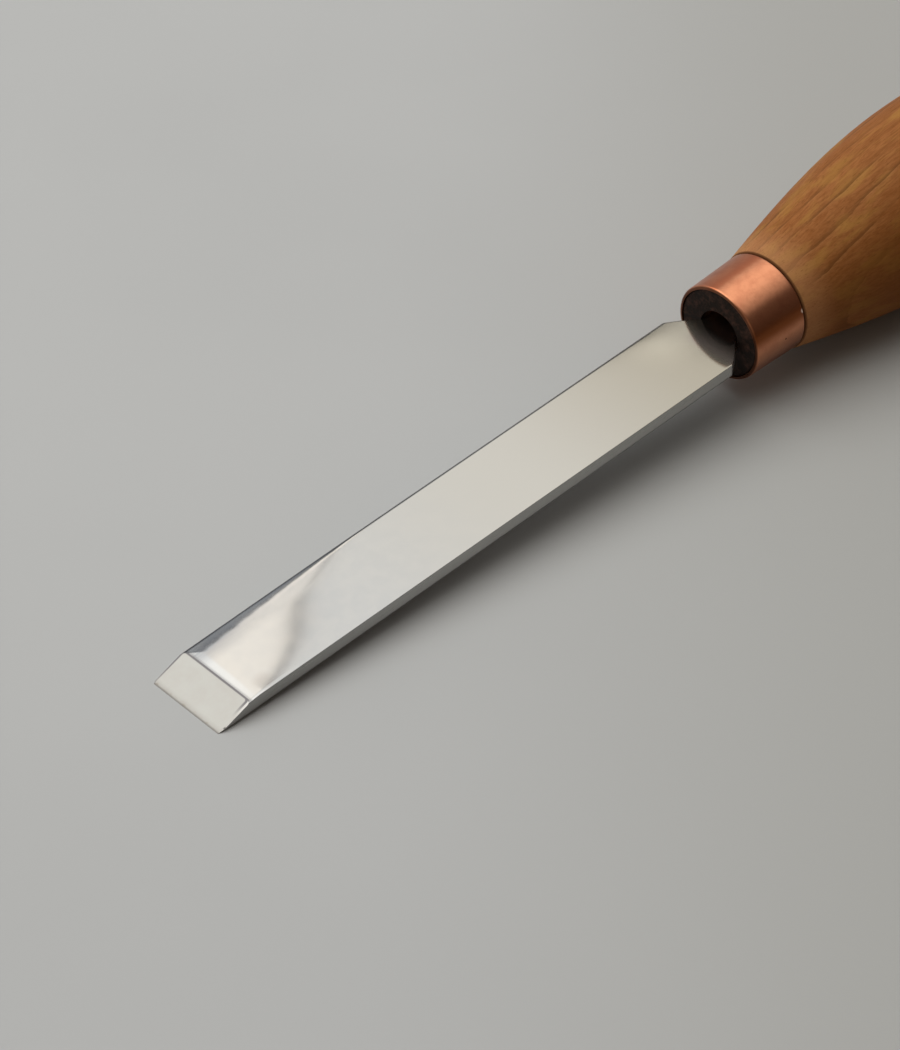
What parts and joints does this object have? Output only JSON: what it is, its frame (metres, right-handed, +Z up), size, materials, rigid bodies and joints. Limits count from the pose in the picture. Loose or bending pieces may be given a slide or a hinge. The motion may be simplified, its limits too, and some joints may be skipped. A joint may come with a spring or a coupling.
{
  "type": "flat carving chisel",
  "caption": "Flat carving chisel lying on a bench: polished steel blade with a ground bevel, copper ferrule and a swelling turned wooden handle, for paring wood by hand.",
  "frame": {"origin": "on the bench under the middle of the tool, at the bottom centre of its bounding box", "axes": "+X along the tool from the cutting edge to the butt of the handle, +Z up from the bench, +Y across the blade"},
  "size_m": [0.2584, 0.0326, 0.0362],
  "materials": {
    "blade_steel": "polished face with a finely ground bevel",
    "ferrule_copper": "satin polished copper",
    "handle_wood": "oiled hardwood with open grain and a darkened end",
    "bedding_resin": "cured resin"
  },
  "bodies": {
    "root": {"blade": "blade_steel", "ferrule": "ferrule_copper", "handle": "handle_wood", "tang_bedding": "bedding_resin"}
  },
  "joints": []
}
